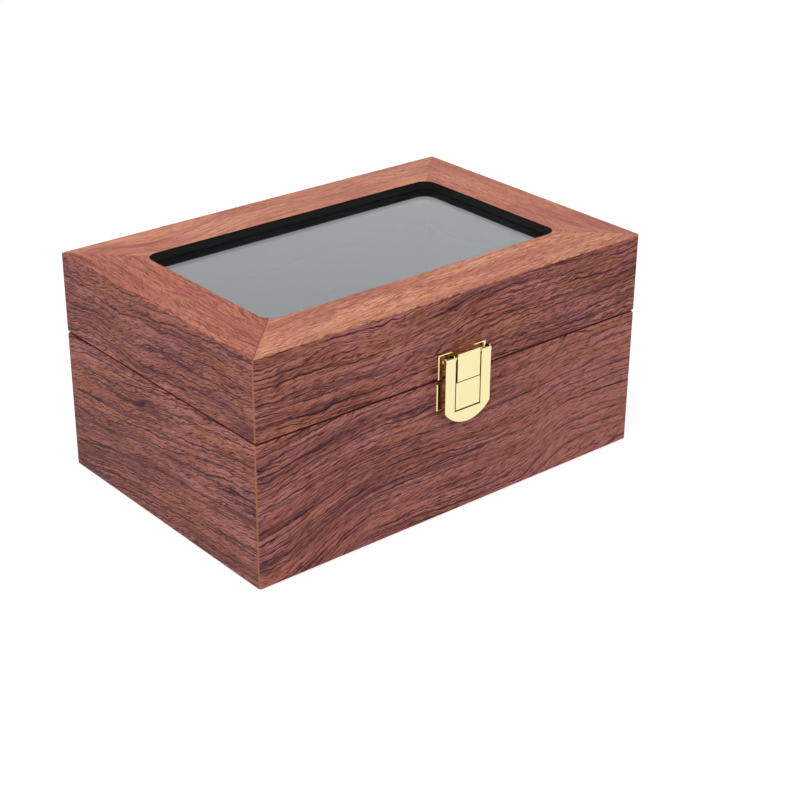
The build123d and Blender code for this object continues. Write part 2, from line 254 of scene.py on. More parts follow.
# %% Grain that bends
swell_fade = (6.0, 46.0, 1.0, 0.35)  # whole up to 6 mm across the board, 0.35 of it from 46 mm on
line_wander = 2.6  # in spacings between lines
number_shift = 7.31  # keeps the noises of neighbouring lines apart
edge_crisp = 0.07  # in spacings


def bent_grain(finish, along, across, through, seed, slope, swells, ripples):
    """The place across the grain: less a slope and slow swells, plus ripples of noise.

    A swell lifts the grain by its height between start and end, less so far across the board.
    """
    bent = finish.maths("MULTIPLY_ADD", along, -slope, across)
    for start, end, height in swells:
        rise = finish.step(along, start, end, 0.0, height)
        fade = finish.step(across, *swell_fade)
        bent = finish.maths("SUBTRACT", bent, finish.maths("MULTIPLY", rise, fade))
    for grain, reach in ripples:
        place = finish.join(along, bent, through)
        wave = finish.noise(place, grain, seed + grain[0], detail=1.0)
        bent = finish.maths("MULTIPLY_ADD", finish.maths("SUBTRACT", wave, 0.5), reach, bent)
    return bent


def grain_lines(finish, along, bent, through, seed, spacing, run):
    """Numbered dark lines, each with a crisp lower edge and a soft upper one.

    position is the bent place counted in spacings, plus a wobble. Its whole part numbers the line
    and the rest is the height above the line. The number chooses where along its run the line is
    thick, thin or gone.
    """
    place = finish.join(along, bent, through)
    wobble = finish.noise(place, (45, 3 * spacing, 30), seed, detail=1.0)
    counted = finish.maths("DIVIDE", bent, spacing)
    position = finish.maths("MULTIPLY_ADD", wobble, line_wander, counted)
    number = finish.maths("FLOOR", position)
    above = finish.maths("SUBTRACT", position, number)
    own_place = finish.join(along, finish.maths("MULTIPLY", number, number_shift), 0.0)
    strength = finish.step(finish.noise(own_place, (run, 1.0, 1.0), seed + 0.5), 0.38, 0.58)
    thickness = finish.maths("MULTIPLY_ADD", strength, 0.75, 0.25)
    crisp = finish.step(above, 0.0, edge_crisp)
    soft = finish.step(finish.maths("DIVIDE", above, thickness), 0.10, 0.40, 1.0, 0.0)
    return finish.maths("MULTIPLY", finish.maths("MULTIPLY", crisp, soft), strength)


# %% Colour and relief of the veneer
fibre_slant = -0.2  # rise of the short fibres against the lines
fibre_size = (3.6, 0.36, 2)
pore_size = (5, 0.42, 6)
light_fibre, hair_ink, pore_ink = 0.45, 0.85, 0.6  # strengths
calm_thins, calm_lightens = 0.7, 0.8  # what a fully calm stretch takes from the dark and adds


def veneer(finish, along, across, through, seed, wood, figure, slope=0.02, swells=(), calm=0.0):
    """The veneer's colour and its relief: patches, clusters of streaks, lines, fibre and pores.

    Each noise is as long, high and deep as its three sizes say, and a step picks its lumps out.
    figure is the strength of all that is dark; calm, from 0 to 1, thins it out and lightens.
    """
    bent = bent_grain(finish, along, across, through, seed, slope, swells, wood["ripples"])
    grain = finish.join(along, bent, through)
    patches = finish.step(finish.noise(grain, (50, 8, 40), seed + 1, detail=3.0), 0.35, 0.65)
    warmth = finish.step(finish.noise(grain, (30, 6, 40), seed + 9, detail=3.0), 0.40, 0.62, 0, 0.6)
    clusters = finish.step(finish.noise(grain, (90, 6, 60), seed + 2), 0.44, 0.64)
    streaks = finish.noise(grain, (35, 1.0, 40), seed + 3, detail=3.0, roughness=0.6)
    bold = grain_lines(finish, along, bent, through, seed + 4, *wood["bold"])
    thin = grain_lines(finish, along, bent, through, seed + 14, *wood["thin"])
    hair = grain_lines(finish, along, bent, through, seed + 24, *wood["hair"])
    slanted = finish.join(along, finish.maths("MULTIPLY_ADD", along, fibre_slant, bent), through)
    fibre = finish.noise(slanted, fibre_size, seed + 5, detail=3.0, roughness=0.6)
    pores = finish.step(finish.noise(grain, pore_size, seed + 6, detail=1.0), 0.58, 0.68)

    patches = finish.maths("MAXIMUM", patches, finish.maths("MULTIPLY", calm, calm_lightens))
    tone = finish.blend(patches, wood["middle"], wood["light"])
    tone = finish.blend(warmth, tone, wood["warm"])
    raised = finish.step(fibre, 0.50, 0.62, 0.0, light_fibre * wood["fibre"])
    tone = finish.blend(raised, tone, wood["light"])
    tone = finish.blend(finish.step(fibre, 0.50, 0.37, 0.0, wood["fibre"]), tone, wood["pore"])
    shade = finish.maths("MULTIPLY", finish.step(streaks, 0.40, 0.60, 0.08, 0.68), clusters)
    inked = finish.maths("MULTIPLY", bold, finish.maths("MULTIPLY_ADD", clusters, 0.35, 0.65))
    busy = finish.maths("MULTIPLY_ADD", calm, -calm_thins, 1.0)
    shade = finish.maths("MULTIPLY", shade, busy)
    faint = finish.maths("MULTIPLY", busy, hair_ink)
    for lines, ink in ((inked, 1.0), (thin, busy), (hair, faint)):
        shade = finish.maths("MAXIMUM", shade, finish.maths("MULTIPLY", lines, ink))
    tone = finish.blend(finish.maths("MULTIPLY", shade, figure, clamp=True), tone, wood["dark"])
    tone = finish.blend(finish.maths("MULTIPLY", pores, pore_ink), tone, wood["pore"])
    relief = finish.maths("MULTIPLY_ADD", fibre, 0.5, finish.maths("MULTIPLY", pores, -0.6))
    return tone, relief


def lacquered(finish, tone, relief):
    """The surface of the veneer: half matt, hardly glossy, its relief 0.02 mm deep."""
    return finish.surface(
        Base_Color=tone, Roughness=0.5, Specular_IOR_Level=0.08, Normal=finish.bump(relief, 0.02)
    )


# %% [markdown]
# ## Side boards
#
# A side board is a stained core with veneer on its face. Its rounded edges at the seam cut
# through the veneer, and the ends of the left and right boards, which show at the corners, are
# paler near the end. Other wood could be modelled there, but stain and paleness have no thickness.
# Two distances say the same: how far a point lies under the face, and how far from the end.

# %% Side boards
veneer_bottom = (0.30, 0.55)  # millimetres under the face where the veneer gives way to its core
core_bottom = (2.5, 5.0)  # and where the core gives way to the dark inside
pale_line_width = (0.6, 1.0)  # millimetres from a board's end where the pale line ends
pale_line_strength = 0.75


def side_board(name, side, seed, figure, slope, swells, calm=None):
    """A side board: veneer over a stained core, paler at the ends of the left and right ones."""
    finish = Finish(name)
    if side in ("front", "back"):
        along, inward, face = finish.x, finish.y, half_depth / MM
    else:
        along, inward, face = finish.maths("MULTIPLY", finish.y, -1.0), finish.x, half_length / MM
    quiet = finish.step(along, *calm) if calm else 0.0
    tone, relief = veneer(
        finish, along, finish.z, inward, seed, side_wood, figure, slope, swells, quiet
    )
    if side in ("left", "right"):
        from_end = finish.maths("SUBTRACT", half_depth / MM, finish.maths("ABSOLUTE", along))
        pale_line = finish.step(from_end, *pale_line_width, pale_line_strength, 0.0)
        tone = finish.blend(pale_line, tone, pale_corner_tone)
    depth = finish.maths("SUBTRACT", face, finish.maths("ABSOLUTE", inward))
    tone = finish.blend(finish.step(depth, *veneer_bottom), tone, stained_edge)
    tone = finish.blend(finish.step(depth, *core_bottom), tone, inner_stain)
    return lacquered(finish, tone, relief)


# seed, strength of the figure, slope, swells (start, end, height), and where calm sets in
grain_run = {
    "base_wall_front": (11, 1.0, 0.02, ((-78, -36, 15), (28, 54, 8)), (-10.0, 50.0)),
    "base_wall_left": (32, 1.0, 0.12, ()),
    "base_wall_back": (47, 0.9, 0.05, ((-50, 20, 10),)),
    "base_wall_right": (23, 0.9, 0.08, ()),
    "lid_wall_front": (51, 0.95, 0.03, ((-60, 0, 4),)),
    "lid_wall_left": (72, 0.9, 0.04, ()),
    "lid_wall_back": (64, 0.9, 0.02, ((-30, 30, 4),)),
    "lid_wall_right": (85, 0.9, 0.05, ()),
}
for board, run in grain_run.items():
    dress(side_board(f"veneer_{board}", board.split("_")[-1], *run), board)
print("veneer on", len(grain_run), "side boards")

# %% [markdown]
# ## Rails of the lid
#
# The four rails round the window are cut from a lighter, calmer part of the log and mitred at the
# corners, so the grain turns with the frame. Their colours are paler still as painted light from
# above. One veneer over the whole top would run straight through the mitres, so each rail gets its
# own, with its own seed and toning. The window's cut edge is painted black with the board under it.
# The distance to a rounded rectangle picks it out.

# %% Lid rails
painted_edge = colour(24, 23, 23)
glass_cover = 5.0  # millimetres of glass hidden behind the frame
window_radius = 5.0
window_half = [edge / MM - glass_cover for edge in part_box("glass_pane")[1][:2]]
mitre_line = (0.06, 0.30, 0.8, 0.0)  # millimetres off the joint, and how dark it is at them
mitre_open = (-100.0, -60.0, 1.0, 0.3)  # x + y: whole at the front left corner, faint elsewhere


def from_window(finish):
    """Distance outside the window: the length of what |x| and |y| have past the corner's centre."""
    past = []
    for place, half in zip((finish.x, finish.y), window_half):
        over = finish.maths("SUBTRACT", finish.maths("ABSOLUTE", place), half - window_radius)
        past.append(finish.maths("MAXIMUM", over, 0.0))
    squares = [finish.maths("MULTIPLY", value, value) for value in past]
    length = finish.maths("SQRT", finish.maths("ADD", *squares))
    return finish.maths("SUBTRACT", length, window_radius)


def lid_rail(side, seed, figure, toning, changes, swells=()):
    """A rail: calm veneer along it, a thin dark mitre line, and the window's edge painted black.

    The mitre is where a point is as far from the box's side as from its front or back.
    """
    finish = Finish(f"veneer_rail_{side}")
    wood = {**top_wood, **changes}
    along, across = (finish.x, finish.y) if side in ("front", "back") else (finish.y, finish.x)
    tone, relief = veneer(finish, along, across, finish.z, seed, wood, figure, swells=swells)
    tone = finish.blend(1.0, tone, (*toning, 1.0), mode="MULTIPLY")
    from_side = finish.maths("SUBTRACT", finish.maths("ABSOLUTE", finish.x), half_length / MM)
    from_front = finish.maths("SUBTRACT", finish.maths("ABSOLUTE", finish.y), half_depth / MM)
    off_joint = finish.maths("ABSOLUTE", finish.maths("SUBTRACT", from_side, from_front))
    opening = finish.step(finish.maths("ADD", finish.x, finish.y), *mitre_open)
    line = finish.maths("MULTIPLY", finish.step(off_joint, *mitre_line), opening)
    tone = finish.blend(line, tone, wood["dark"])
    paint = finish.step(from_window(finish), 0.02, 0.08, 1.0, 0.0)
    tone = finish.blend(paint, tone, painted_edge)
    return lacquered(finish, tone, relief)


rails = {  # seed, strength of the figure, toning, changes to the wood, swells
    "front": (3, 0.66, (1.0, 1.02, 0.97), {"thin": (1.5, 5.0)}),
    "back": (
        13,
        0.6,
        (0.96, 0.94, 0.92),
        {"fibre": 0.35, "bold": (6.5, 90.0), "hair": (1.3, 9.0)},
        ((-72, -50, -12), (-42, -16, 14), (0, 30, -10)),
    ),
    "left": (23, 0.8, (0.78, 0.65, 0.67), {}),
    "right": (33, 0.5, (0.88, 0.81, 0.84), {"fibre": 0.4, "bold": (5.0, 40.0)}),
}
for side, cut in rails.items():
    dress(lid_rail(side, *cut), f"top_veneer_{side}")
print("window half sizes, millimetres:", window_half)

# %% [markdown]
# ## Black board, velvet and felt
#
# The window is cut through a board painted black, the inside is lined with velvet, and felt lies
# under a floor of bare fibre board. One dark colour would turn them all into the same plastic.
# Velvet is dark because light falls between its upright hairs, and pale at a glancing angle,
# where the hair tips show: that is the sheen of the shader. Felt has no standing hair, so it gets
# a tangle of fibres in its relief instead.


# %% Dark finishes
def black_paint():
    """Matt black paint with a little orange peel."""
    finish = Finish("black_paint")
    peel = finish.noise(finish.place, (0.8, 0.8, 0.8), 3, detail=3.0)
    rough = finish.step(peel, 0.3, 0.7, 0.42, 0.58)
    return finish.surface(
        Base_Color=colour(24, 22, 22),
        Roughness=rough,
        Specular_IOR_Level=0.2,
        Normal=finish.bump(peel, 0.02),
    )


def velvet(name, ground, painted_sheen):
    """Short pile: dark ground, brushed patches with sheen painted paler, the shader's sheen at the
    tips.
    """
    finish = Finish(name)
    brushed = finish.noise(finish.place, (22, 14, 18), 5, detail=3.0)
    pile = finish.noise(finish.place, (0.35, 0.35, 0.35), 9, detail=3.0)
    # Brushed patches: sheen painted into the colour, paler where the pile lies another way.
    tone = finish.blend(finish.step(brushed, 0.35, 0.65), ground, painted_sheen)
    tone = finish.blend(finish.step(pile, 0.3, 0.7, 0.0, 0.5), tone, ground)
    return finish.surface(
        Base_Color=tone,
        Roughness=0.9,
        Sheen_Weight=0.6,
        Sheen_Roughness=0.35,
        Sheen_Tint=colour(190, 192, 200),
        Specular_IOR_Level=0.2,
        Normal=finish.bump(pile, 0.12),
    )


def felt():
    """Pressed fibres: two crossed noises make a tangle, in relief and tone, unevenly pressed."""
    finish = Finish("felt")
    fibres = finish.noise(finish.place, (0.9, 0.12, 0.5), 4, detail=3.0)
    crossing = finish.noise(finish.place, (0.12, 0.9, 0.5), 8, detail=3.0)
    tangle = finish.maths("MAXIMUM", fibres, crossing)
    clouds = finish.noise(finish.place, (14, 10, 8), 7, detail=3.0)
    pressed = finish.step(clouds, 0.35, 0.65, 0.5, 1.0)
    pale = finish.maths("MULTIPLY", finish.step(tangle, 0.40, 0.68), pressed)
    tone = finish.blend(pale, colour(24, 24, 25), colour(66, 65, 68))
    return finish.surface(
        Base_Color=tone, Roughness=0.95, Sheen_Weight=0.3, Normal=finish.bump(tangle, 0.15)
    )


def bare_board():
    """Pressed fibre board, pale brown with darker specks."""
    finish = Finish("bare_board")
    chips = finish.noise(finish.place, (1.2, 0.7, 0.6), 6, detail=4.0)
    tone = finish.blend(finish.step(chips, 0.35, 0.7), colour(150, 118, 84), colour(112, 84, 58))
    return finish.surface(Base_Color=tone, Roughness=0.8, Normal=finish.bump(chips, 0.05))


lining_velvet = velvet("lining_velvet", colour(22, 22, 25), colour(44, 44, 49))
linings = [f"{place}_liner_{side}" for place in ("base", "lid") for side in rails]
linings += ["liner_floor", "divider_1", "divider_2", "glass_retainer"]
dress(lining_velvet, *linings)
dress(black_paint(), "lid_top_board")
dress(bare_board(), "base_floor")
pad_felt = felt()
pillow_velvet = velvet("pillow_velvet", colour(26, 26, 30), colour(56, 56, 63))
print("velvet on", len(linings), "linings")

# %% [markdown]
# ## Glass and metal
#
# The pane is clear glass: what it shows is mostly the pale room mirrored in it, with the dark
# inside behind. A grey plate would look right from the front only, and hide the pillows from
# above. The clasp is plated, polished gold. Shade is painted into it: a deeper, less bright gold
# behind the flap's face, and dark brown in the mouths of the flap's two hollow legs. One material
# does all three by the place of a point.


# %% Glass and metal
bright_gold = (0.86, 0.755, 0.415, 1.0)
# Painted shade: a deeper gold for behind the flap's face.
painted_shade_gold = (0.74, 0.50, 0.14, 1.0)
# Painted shade: dark brown for the mouths of the flap's hollow legs.
painted_shade_in_legs = colour(40, 28, 10)


def clear_glass():
    """Clear glass, faintly cool, with the slightest haze."""
    finish = Finish("clear_glass")
    return finish.surface(
        Base_Color=(0.90, 0.96, 1.0, 1.0),
        Specular_Tint=(0.74, 0.93, 1.0, 1.0),
        Roughness=0.01,
        IOR=1.5,
        Transmission_Weight=1.0,
        Coat_Weight=0.64,
        Coat_Roughness=0.02,
    )


flap_low, flap_high = (np.array(corner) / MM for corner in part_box("clasp_flap"))
flap_skin, flap_wall, leg_width, leg_mouth = 0.6, 0.5, 4.2, 2.5  # millimetres
unshaded_wall, unshaded_skin, unshaded_top = 0.7, 0.1, 0.2  # millimetres in from the outside where the painted shade begins
least_fade = 0.06  # millimetres over which the painted shade in the legs fades in


def shade_behind_face(finish):
    """1 behind the flap's face and between its outer walls, where shade is painted."""
    wall, top = flap_high[0] - unshaded_wall, flap_high[2] - unshaded_top
    back = flap_low[1] + flap_skin + unshaded_skin
    between = finish.step(finish.maths("ABSOLUTE", finish.x), wall - 0.2, wall, 1.0, 0.0)
    behind = finish.step(finish.y, back, back + 0.4)
    below = finish.step(finish.z, top - 0.4, top, 1.0, 0.0)
    return finish.maths("MULTIPLY", finish.maths("MULTIPLY", between, behind), below)


def inside_legs(finish):
    """1 where shade is painted in the flap's two hollow legs: high up, behind the skin, between
    walls.

    The limits lie 0.02 mm inside the metal, so that the hollow's own faces count as inside.
    """
    leg_middle = flap_high[0] - leg_width / 2
    off = finish.maths("SUBTRACT", finish.maths("ABSOLUTE", finish.x), leg_middle)
    wall = leg_width / 2 - flap_wall + 0.02
    between = finish.step(finish.maths("ABSOLUTE", off), wall, wall + least_fade, 1.0, 0.0)
    back = flap_low[1] + flap_skin - 0.02
    behind = finish.step(finish.y, back - least_fade, back)
    mouth = flap_high[2] - leg_mouth
    high = finish.step(finish.z, mouth - 0.5, mouth)
    return finish.maths("MULTIPLY", finish.maths("MULTIPLY", between, behind), high)


def gold_plate(name, shaded_mouths=None):
    """Plating with hairline wiping marks, rougher behind the flap's face, where shade is painted
    in.

    The mask, if given, picks out where shade is painted dark brown; it is rougher still there.
    """
    finish = Finish(name)
    hairs = finish.noise(finish.place, (0.15, 0.15, 4), 2, detail=3.0)
    recess = shade_behind_face(finish)
    # Painted shade behind the flap's face, as a deeper gold.
    tone = finish.blend(recess, bright_gold, painted_shade_gold)
    rough = finish.step(hairs, 0.3, 0.8, 0.07, 0.16)
    rough = finish.maths("MULTIPLY_ADD", recess, 0.3, rough)
    if shaded_mouths:
        share = shaded_mouths(finish)
        # Painted shade in the legs' mouths, as dark brown.
        tone = finish.blend(share, tone, painted_shade_in_legs)
        rough = finish.maths("MULTIPLY_ADD", share, 0.4, rough)
    return finish.surface(Base_Color=tone, Metallic=1.0, Roughness=rough)


def hinge_brass():
    """Stamped brass: duller than the clasp."""
    finish = Finish("hinge_brass")
    rolled = finish.noise(finish.place, (6, 0.3, 0.6), 2, detail=3.0)
    rough = finish.step(rolled, 0.3, 0.8, 0.2, 0.4)
    return finish.surface(Base_Color=(0.72, 0.55, 0.26, 1.0), Metallic=1.0, Roughness=rough)


clasp_pieces = [name for name in nodes if name.startswith("clasp_")]
hinge_pieces = [name for name in nodes if name.startswith("hinge_")]
dress(clear_glass(), "glass_pane")
dress(gold_plate("gold_plate"), *clasp_pieces)
dress(gold_plate("gold_flap", inside_legs), "clasp_flap")
brass = hinge_brass()
dress(brass, *hinge_pieces)
print("gold on", len(clasp_pieces), "pieces, brass on", len(hinge_pieces))

# %% [markdown]
# ## Watch pillows
#
# A watch pillow is a block of foam in a velvet cover: a tube, which the strap goes round, sewn to
# two end panels. Its look is in what the cloth does: crowned faces, round shoulders, and small
# puckers where a long tube is eased into a shorter seam. The form is worked out as rings, then
# Blender's cloth is blown up against seams that shrink. How far it may move is capped, so that
# the pillow keeps to the space between its dividers. Cloth behaves badly at the size of a watch
# box, so it is simulated ten times as large.


# %% A closed skin from rings
def skin(name, *bodies):
    """One mesh of closed bodies, each an array of rings x points x 3.

    Quads join neighbouring rings, and a fan of triangles joins the first and the last ring to a
    pole, which is the ring's middle. A ring runs anticlockwise, seen from the last pole.
    """
    points, faces = np.empty((0, 3)), []
    for rings in bodies:
        count, around = rings.shape[:2]
        corner = len(points) + np.arange(count * around).reshape(count, around)
        ahead = np.roll(corner, -1, axis=1)
        quads = np.stack([corner[:-1], ahead[:-1], ahead[1:], corner[1:]], -1).reshape(-1, 4)
        first, last = (np.full(around, len(points) + corner.size + end) for end in (0, 1))
        opening_fan = np.stack([first, ahead[0], corner[0]], -1)
        closing_fan = np.stack([last, corner[-1], ahead[-1]], -1)
        faces += quads.tolist() + opening_fan.tolist() + closing_fan.tolist()
        points = np.vstack([points, rings.reshape(-1, 3), rings[[0, -1]].mean(axis=1)])
    mesh = bpy.data.meshes.new(name)
    mesh.from_pydata(points.tolist(), [], faces)
    mesh.shade_smooth()
    return mesh


def piece_of(mesh, material):
    """An object at the origin that shows this mesh in this material."""
    piece = bpy.data.objects.new(mesh.name, mesh)
    bpy.context.scene.collection.objects.link(piece)
    mesh.materials.append(material)
    return piece


def evenly(outline, count):
    """count points spaced evenly along a closed outline, by its running length."""
    closed = np.vstack([outline, outline[:1]])
    run = np.concatenate([[0], np.cumsum(np.linalg.norm(np.diff(closed, axis=0), axis=1))])
    even = np.linspace(0, run[-1], count, endpoint=False)
    return np.stack([np.interp(even, run, closed[:, axis]) for axis in range(2)], -1)


# %% Pillow form
around, body_rings, panel_rings = 112, 29, 10
section_power = 3.0
draw_in = 4.2 * MM  # how much narrower the section is at its two seams
panel_dome = 0.06  # how far an end panel stands out, as a share of the half length


def pillow_rings(half):
    """Rings of |y/a|^n + |z/b|^n = 1, drawn in towards the seams by the 6th power of x.

    The end panels go on from the seams as the same ring, smaller and smaller. share is a ring's
    size beside the full one, and a panel stands out by its dome x (1 - share squared).
    """
    turn = np.linspace(0, 2 * pi, 1500, endpoint=False)
    wave = np.stack([np.cos(turn), np.sin(turn)], -1)
    outline = np.sign(wave) * np.abs(wave) ** (2 / section_power) * half[1:]
    unit = evenly(outline, around) / half[1:]
    body = np.linspace(-1, 1, body_rings)
    panel = np.linspace(0.1, 1, panel_rings, endpoint=False)
    side = np.concatenate([-np.ones(panel_rings), body, np.ones(panel_rings)])
    share = np.concatenate([panel, np.ones(body_rings), panel[::-1]])
    inset = draw_in * np.abs(side) ** 6
    across = (half[1:] - inset[:, None]) * share[:, None]
    rings = np.empty((len(side), around, 3))
    rings[..., 0] = (half[0] * side * (1 + panel_dome * (1 - share**2)))[:, None]
    rings[..., 1:] = across[:, None, :] * unit
    return rings, share


# %% Cloth
giant = 10.0  # times as large as life while it is simulated
cloth_frames = 14
most_move = 3.4 * MM
first_creases = 0.05 * MM  # random, so that the cloth doesn't swell alike all round
seam_pull = (1.0, 0.4)  # how much of the shrinking the seam and the ring inside it take


def blown_up(rings, seed):
    """How far each point moves while cloth swells under air pressure and its seams shrink."""
    rng = np.random.default_rng(seed)
    start = (rings + rng.normal(0, first_creases, rings.shape)) * giant
    piece = bpy.data.objects.new("blowing", skin("blowing", start))
    bpy.context.scene.collection.objects.link(piece)
    number = np.arange(start.shape[0] * around).reshape(start.shape[:2])
    seams = piece.vertex_groups.new(name="seams")
    for step, weight in enumerate(seam_pull):
        rows = number[[panel_rings + step, -panel_rings - 1 - step]].ravel().tolist()
        seams.add(rows, weight, "REPLACE")
    cloth = piece.modifiers.new("cloth", "CLOTH")
    cloth.collision_settings.use_collision = False
    settings = cloth.settings
    settings.quality = 6
    settings.mass = 0.3
    settings.tension_stiffness = settings.compression_stiffness = 12
    settings.shear_stiffness = 5
    settings.bending_stiffness = 0.15
    settings.use_pressure = True
    settings.uniform_pressure_force = 3.0
    settings.effector_weights.gravity = 0
    settings.shrink_min, settings.shrink_max = -0.05, 0.16
    settings.vertex_group_shrink = "seams"
    scene = bpy.context.scene
    for step in range(1, cloth_frames + 1):
        scene.frame_set(step)
    shown = piece.evaluated_get(bpy.context.evaluated_depsgraph_get()).data
    after = np.empty(3 * len(shown.vertices))
    shown.vertices.foreach_get("co", after)
    bpy.data.objects.remove(piece)
    scene.frame_set(1)
    move = (after.reshape(-1, 3)[:-2].reshape(start.shape) - start) / giant
    move -= move.mean(axis=(0, 1))
    return move


# %% Three pillows
seam_depth = 0.7 * MM
slack = (0.95, 0.95, 0.91)  # size before the cloth swells, beside the solid's
knee_share = 0.84  # share of the half size from which a swelling is eased
panel_give = (0.25, 0.6)  # the stiffer end panels: give in the middle, and more at the edge


def eased_into(rings, half):
    """|v| past the knee k becomes k + (h - k) tanh((|v| - k) / (h - k)); the underside is flat."""
    knee = knee_share * half
    past = np.maximum(np.abs(rings) - knee, 0)
    eased = np.minimum(np.abs(rings), knee) + (half - knee) * np.tanh(past / (half - knee))
    eased = np.copysign(eased, rings)
    under = rings[..., 2] < 0
    eased[under, 2] = np.maximum(rings[under, 2], -half[2])
    return eased


def pillow(node, seed):
    """One pillow in the space of its solid: swollen form, drawn seams, flat where it rests."""
    low, high = (np.array(corner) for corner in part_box(node))
    half = (high - low) / 2
    rings, share = pillow_rings(half * slack)
    give = np.where(share < 1, panel_give[0] + panel_give[1] * share**4, 1.0)[:, None, None]
    move = blown_up(rings, seed)
    far = np.linalg.norm(move, axis=-1, keepdims=True)
    rings = rings + give * move * most_move / (most_move + far)
    for seam in (panel_rings, -panel_rings - 1):
        ring = rings[seam]
        inward = ring.mean(axis=0) - ring
        rings[seam] = ring + seam_depth * inward / np.linalg.norm(inward, axis=1, keepdims=True)
    rings = eased_into(rings, half) + (low + high) / 2
    piece = piece_of(skin(f"{node}_cover", rings), pillow_velvet)
    finer = piece.modifiers.new("finer", "SUBSURF")
    finer.levels = finer.render_levels = 1
    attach(piece, node)
    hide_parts(node)
    return piece


for number in (1, 2, 3):
    cover = pillow(f"pillow_{number}", seed=number)
    print(cover.name, len(cover.data.vertices), "points")

# %% [markdown]
# ## Felt under the base
#
# A pad of felt under the box keeps it from scratching. It is cut with scissors from a sheet, so
# its edge is soft and wanders a little. A box with bevelled edges would be too true. This is a
# rounded rectangle with a wandering outline, whose rings go up a rounded side.


# %% Felt pad
felt_points = 240
edge_wander = 0.12 * MM
ring_share = np.array([0.1, 0.4, 0.7, 0.9, 0.99, 0.997, 1, 0.997, 0.99, 0.9, 0.7, 0.4, 0.1])
ring_level = np.array([0, 0, 0, 0, 0, 0.2, 0.5, 0.8, 1, 1, 1, 1, 1])  # of the felt's thickness


def felt_pad(node="base_felt", radius=2.0 * MM):
    """Rounded-rectangle rings from the middle of the underside, round the edge, to the top."""
    low, high = (np.array(corner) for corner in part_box(node))
    half, thick = (high - low)[:2] / 2, high[2] - low[2]
    turn = np.linspace(0, pi / 2, 16)
    quarter = radius * np.stack([np.cos(turn), np.sin(turn)], -1) + half - radius
    flips = [((1, 1), 1), ((-1, 1), -1), ((-1, -1), 1), ((1, -1), -1)]
    outline = evenly(np.vstack([quarter[::order] * flip for flip, order in flips]), felt_points)
    wander = np.random.default_rng(5).normal(0, 1, felt_points)
    wander = np.convolve(np.tile(wander, 3), np.ones(4) / 4, "same")[felt_points : 2 * felt_points]
    outline *= (1 - edge_wander * np.abs(wander) / np.linalg.norm(outline, axis=1))[:, None]
    rings = np.empty((len(ring_share), felt_points, 3))
    rings[..., :2] = ring_share[:, None, None] * outline
    rings[..., 2] = (low[2] + thick * ring_level)[:, None]
    piece = piece_of(skin("felt_pad", rings), pad_felt)
    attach(piece, "base")
    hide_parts(node)
    return piece


print(felt_pad().name)

# %% [markdown]
# ## Hinge screws
#
# The hinge leaves are held by small brass wood screws, seen when the lid is up. Cutting thread and
# recess out of a solid with booleans is slow and leaves ragged faces. Here a screw is a profile
# carried round an axis, with two changes: the shank's radius also follows a helix, which is the
# thread, and the top of the head sinks near two crossing lines, which is the driver's recess.

# %% Screw
screw_head = 1.6 * MM
screw_shank = 0.9 * MM
screw_length = 8.0 * MM
screw_spacing = 12.0 * MM
thread_pitch = 0.95 * MM
thread_depth = 0.26 * MM
point_length = 1.6 * MM
screw_points = 40
head_profile = np.concatenate([[0.985, 1.0, 0.97], np.linspace(0.92, 0.06, 16)])  # of its radius
head_drop = np.concatenate([[-0.03, -0.01], np.zeros(17)]) * MM  # a hair below its flat top
cross_width, cross_length, cross_depth = 0.30, 1.0, 0.5  # half width, half length, millimetres


def cross_recess(x, y):
    """Depth of a cross: full where the smaller of |x| and |y| is small and the larger is short."""
    small = np.minimum(np.abs(x), np.abs(y)) / MM
    large = np.maximum(np.abs(x), np.abs(y)) / MM
    beside = np.clip((cross_width - small) / 0.14, 0, 1)
    before_end = np.clip((cross_length - large) / 0.3, 0, 1)
    return cross_depth * MM * beside * before_end


def screw_rings(turned):
    """Rings from the tip up the threaded shank and the cone, then in over the head's flat top.

    The shank's radius follows a ridge squared, whose phase is height over pitch less the turn.
    """
    turn = np.linspace(0, 2 * pi, screw_points, endpoint=False)
    cone = screw_head - screw_shank
    shank_z = np.arange(-screw_length + 0.1 * MM, -cone, thread_pitch / 8)
    tip = np.clip((shank_z + screw_length) / point_length, 0.06, 1)
    phase = shank_z[:, None] / thread_pitch - turn / (2 * pi)
    ridge = np.abs(2 * (phase % 1) - 1) ** 2
    shank = (screw_shank - thread_depth + thread_depth * ridge) * tip[:, None]
    neck = np.full((1, screw_points), screw_shank)
    head = np.tile(screw_head * head_profile[:, None], screw_points)
    radius = np.vstack([shank, neck, head])
    z = np.concatenate([shank_z, [-cone], head_drop])
    rings = np.empty((*radius.shape, 3))
    rings[..., 0], rings[..., 1] = radius * np.cos(turn), radius * np.sin(turn)
    rings[..., 2] = z[:, None]
    top = slice(len(shank) + 3, None)  # past the neck and the two rings of the rounded rim
    x, y = rings[top, :, 0], rings[top, :, 1]
    along_arm = cos(turned) * x + sin(turned) * y
    across_arm = cos(turned) * y - sin(turned) * x
    rings[top, :, 2] -= cross_recess(along_arm, across_arm)
    return rings


def hinge_screws(node, body, head_up):
    """The four screws of two leaves as one piece, each turned to its own angle.

    A screw whose head looks down is the same screw turned half round the X axis.
    """
    low, high = (np.array(corner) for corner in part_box(node))
    outer = high[0] - screw_head
    places = [side * (outer - back) for side in (-1, 1) for back in (screw_spacing, 0)]
    rng = np.random.default_rng(7 + head_up)
    way, seat = ((1, 1, 1), high[2]) if head_up else ((1, -1, -1), low[2])
    middle = (low[1] + high[1]) / 2
    screws = [screw_rings(rng.uniform(0, pi / 2)) * way + (x, middle, seat) for x in places]
    piece = piece_of(skin(f"{node}_driven", *screws), brass)
    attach(piece, body)
    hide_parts(node)
    return piece


